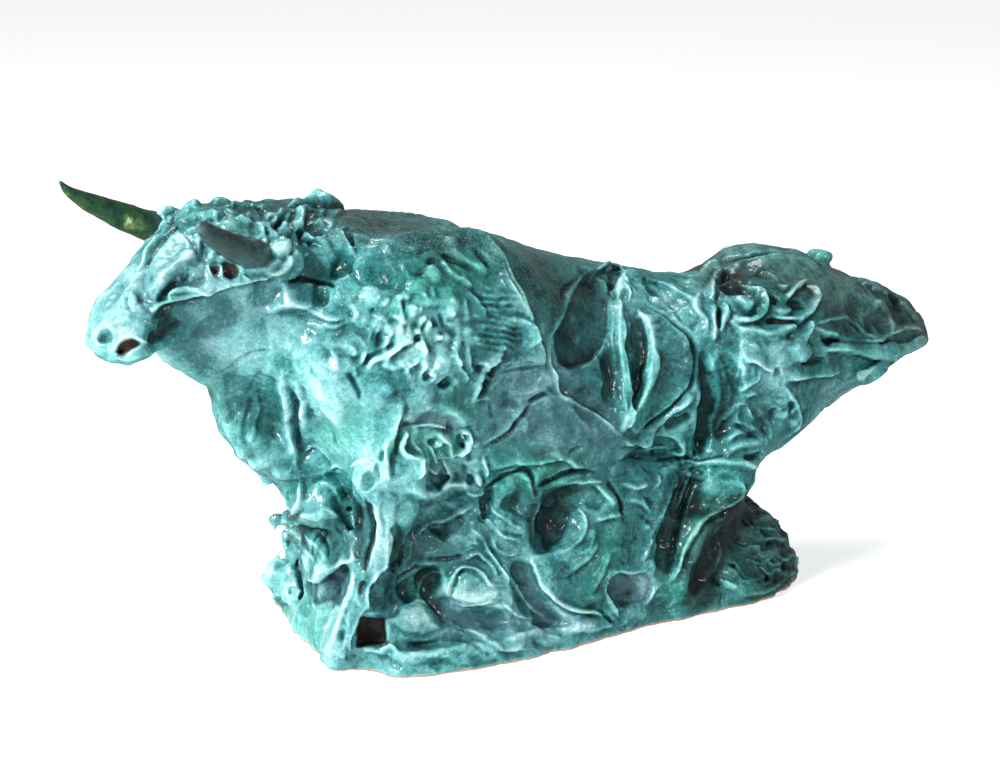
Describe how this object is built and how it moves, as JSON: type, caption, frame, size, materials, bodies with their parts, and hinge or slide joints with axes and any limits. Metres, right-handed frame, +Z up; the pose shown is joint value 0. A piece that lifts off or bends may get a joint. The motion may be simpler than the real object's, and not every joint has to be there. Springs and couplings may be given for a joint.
{
  "type": "bull sculpture",
  "caption": "Glazed ceramic bull rising from a modelled ground base, built of luted clay lumps, slabs and rolls, hollow inside with an open foot slot.",
  "frame": {"origin": "centre of the outer box, on the plane the foot stands on", "axes": "+Z up; the bull faces -X, its left flank faces -Y"},
  "size_m": [0.571, 0.1768, 0.2876],
  "materials": {
    "turquoise_glaze": "glossy turquoise to deep teal glaze, pale on ridges, dark in hollows, fine speckle",
    "horn_glaze": "glossy olive green glaze with straw-coloured streaks",
    "foot_glaze": "glossy turquoise glaze, wiped back to bare pinkish clay at the foot"
  },
  "bodies": {
    "root": {"horn_left": "horn_glaze", "horn_right": "horn_glaze", "ear_left": "turquoise_glaze", "ear_right": "turquoise_glaze", "tail": "turquoise_glaze", "tail_tuft": "turquoise_glaze", "flank_fold_front_left": "turquoise_glaze", "flank_fold_rear_left": "turquoise_glaze", "flank_fold_front_right": "turquoise_glaze", "flank_fold_rear_right": "turquoise_glaze", "knee_leaf": "turquoise_glaze", "elbow_knot": "turquoise_glaze", "ground_petal": "turquoise_glaze", "ground_crescent": "turquoise_glaze", "foreleg_left": "turquoise_glaze", "foreleg_right": "turquoise_glaze", "hindleg_left": "turquoise_glaze", "hindleg_right": "turquoise_glaze", "shoulder_left": "turquoise_glaze", "shoulder_right": "turquoise_glaze", "haunch_left": "turquoise_glaze", "haunch_right": "turquoise_glaze", "belly_slab_left": "turquoise_glaze", "belly_slab_right": "turquoise_glaze", "head": "turquoise_glaze", "mane_crest": "turquoise_glaze", "dewlap": "turquoise_glaze", "neck": "turquoise_glaze", "forebody": "turquoise_glaze", "rump": "turquoise_glaze", "barrel": "turquoise_glaze", "rear_rock": "turquoise_glaze", "front_rock": "turquoise_glaze", "base_slab": "foot_glaze", "ground_mound": "turquoise_glaze"}
  },
  "joints": []
}
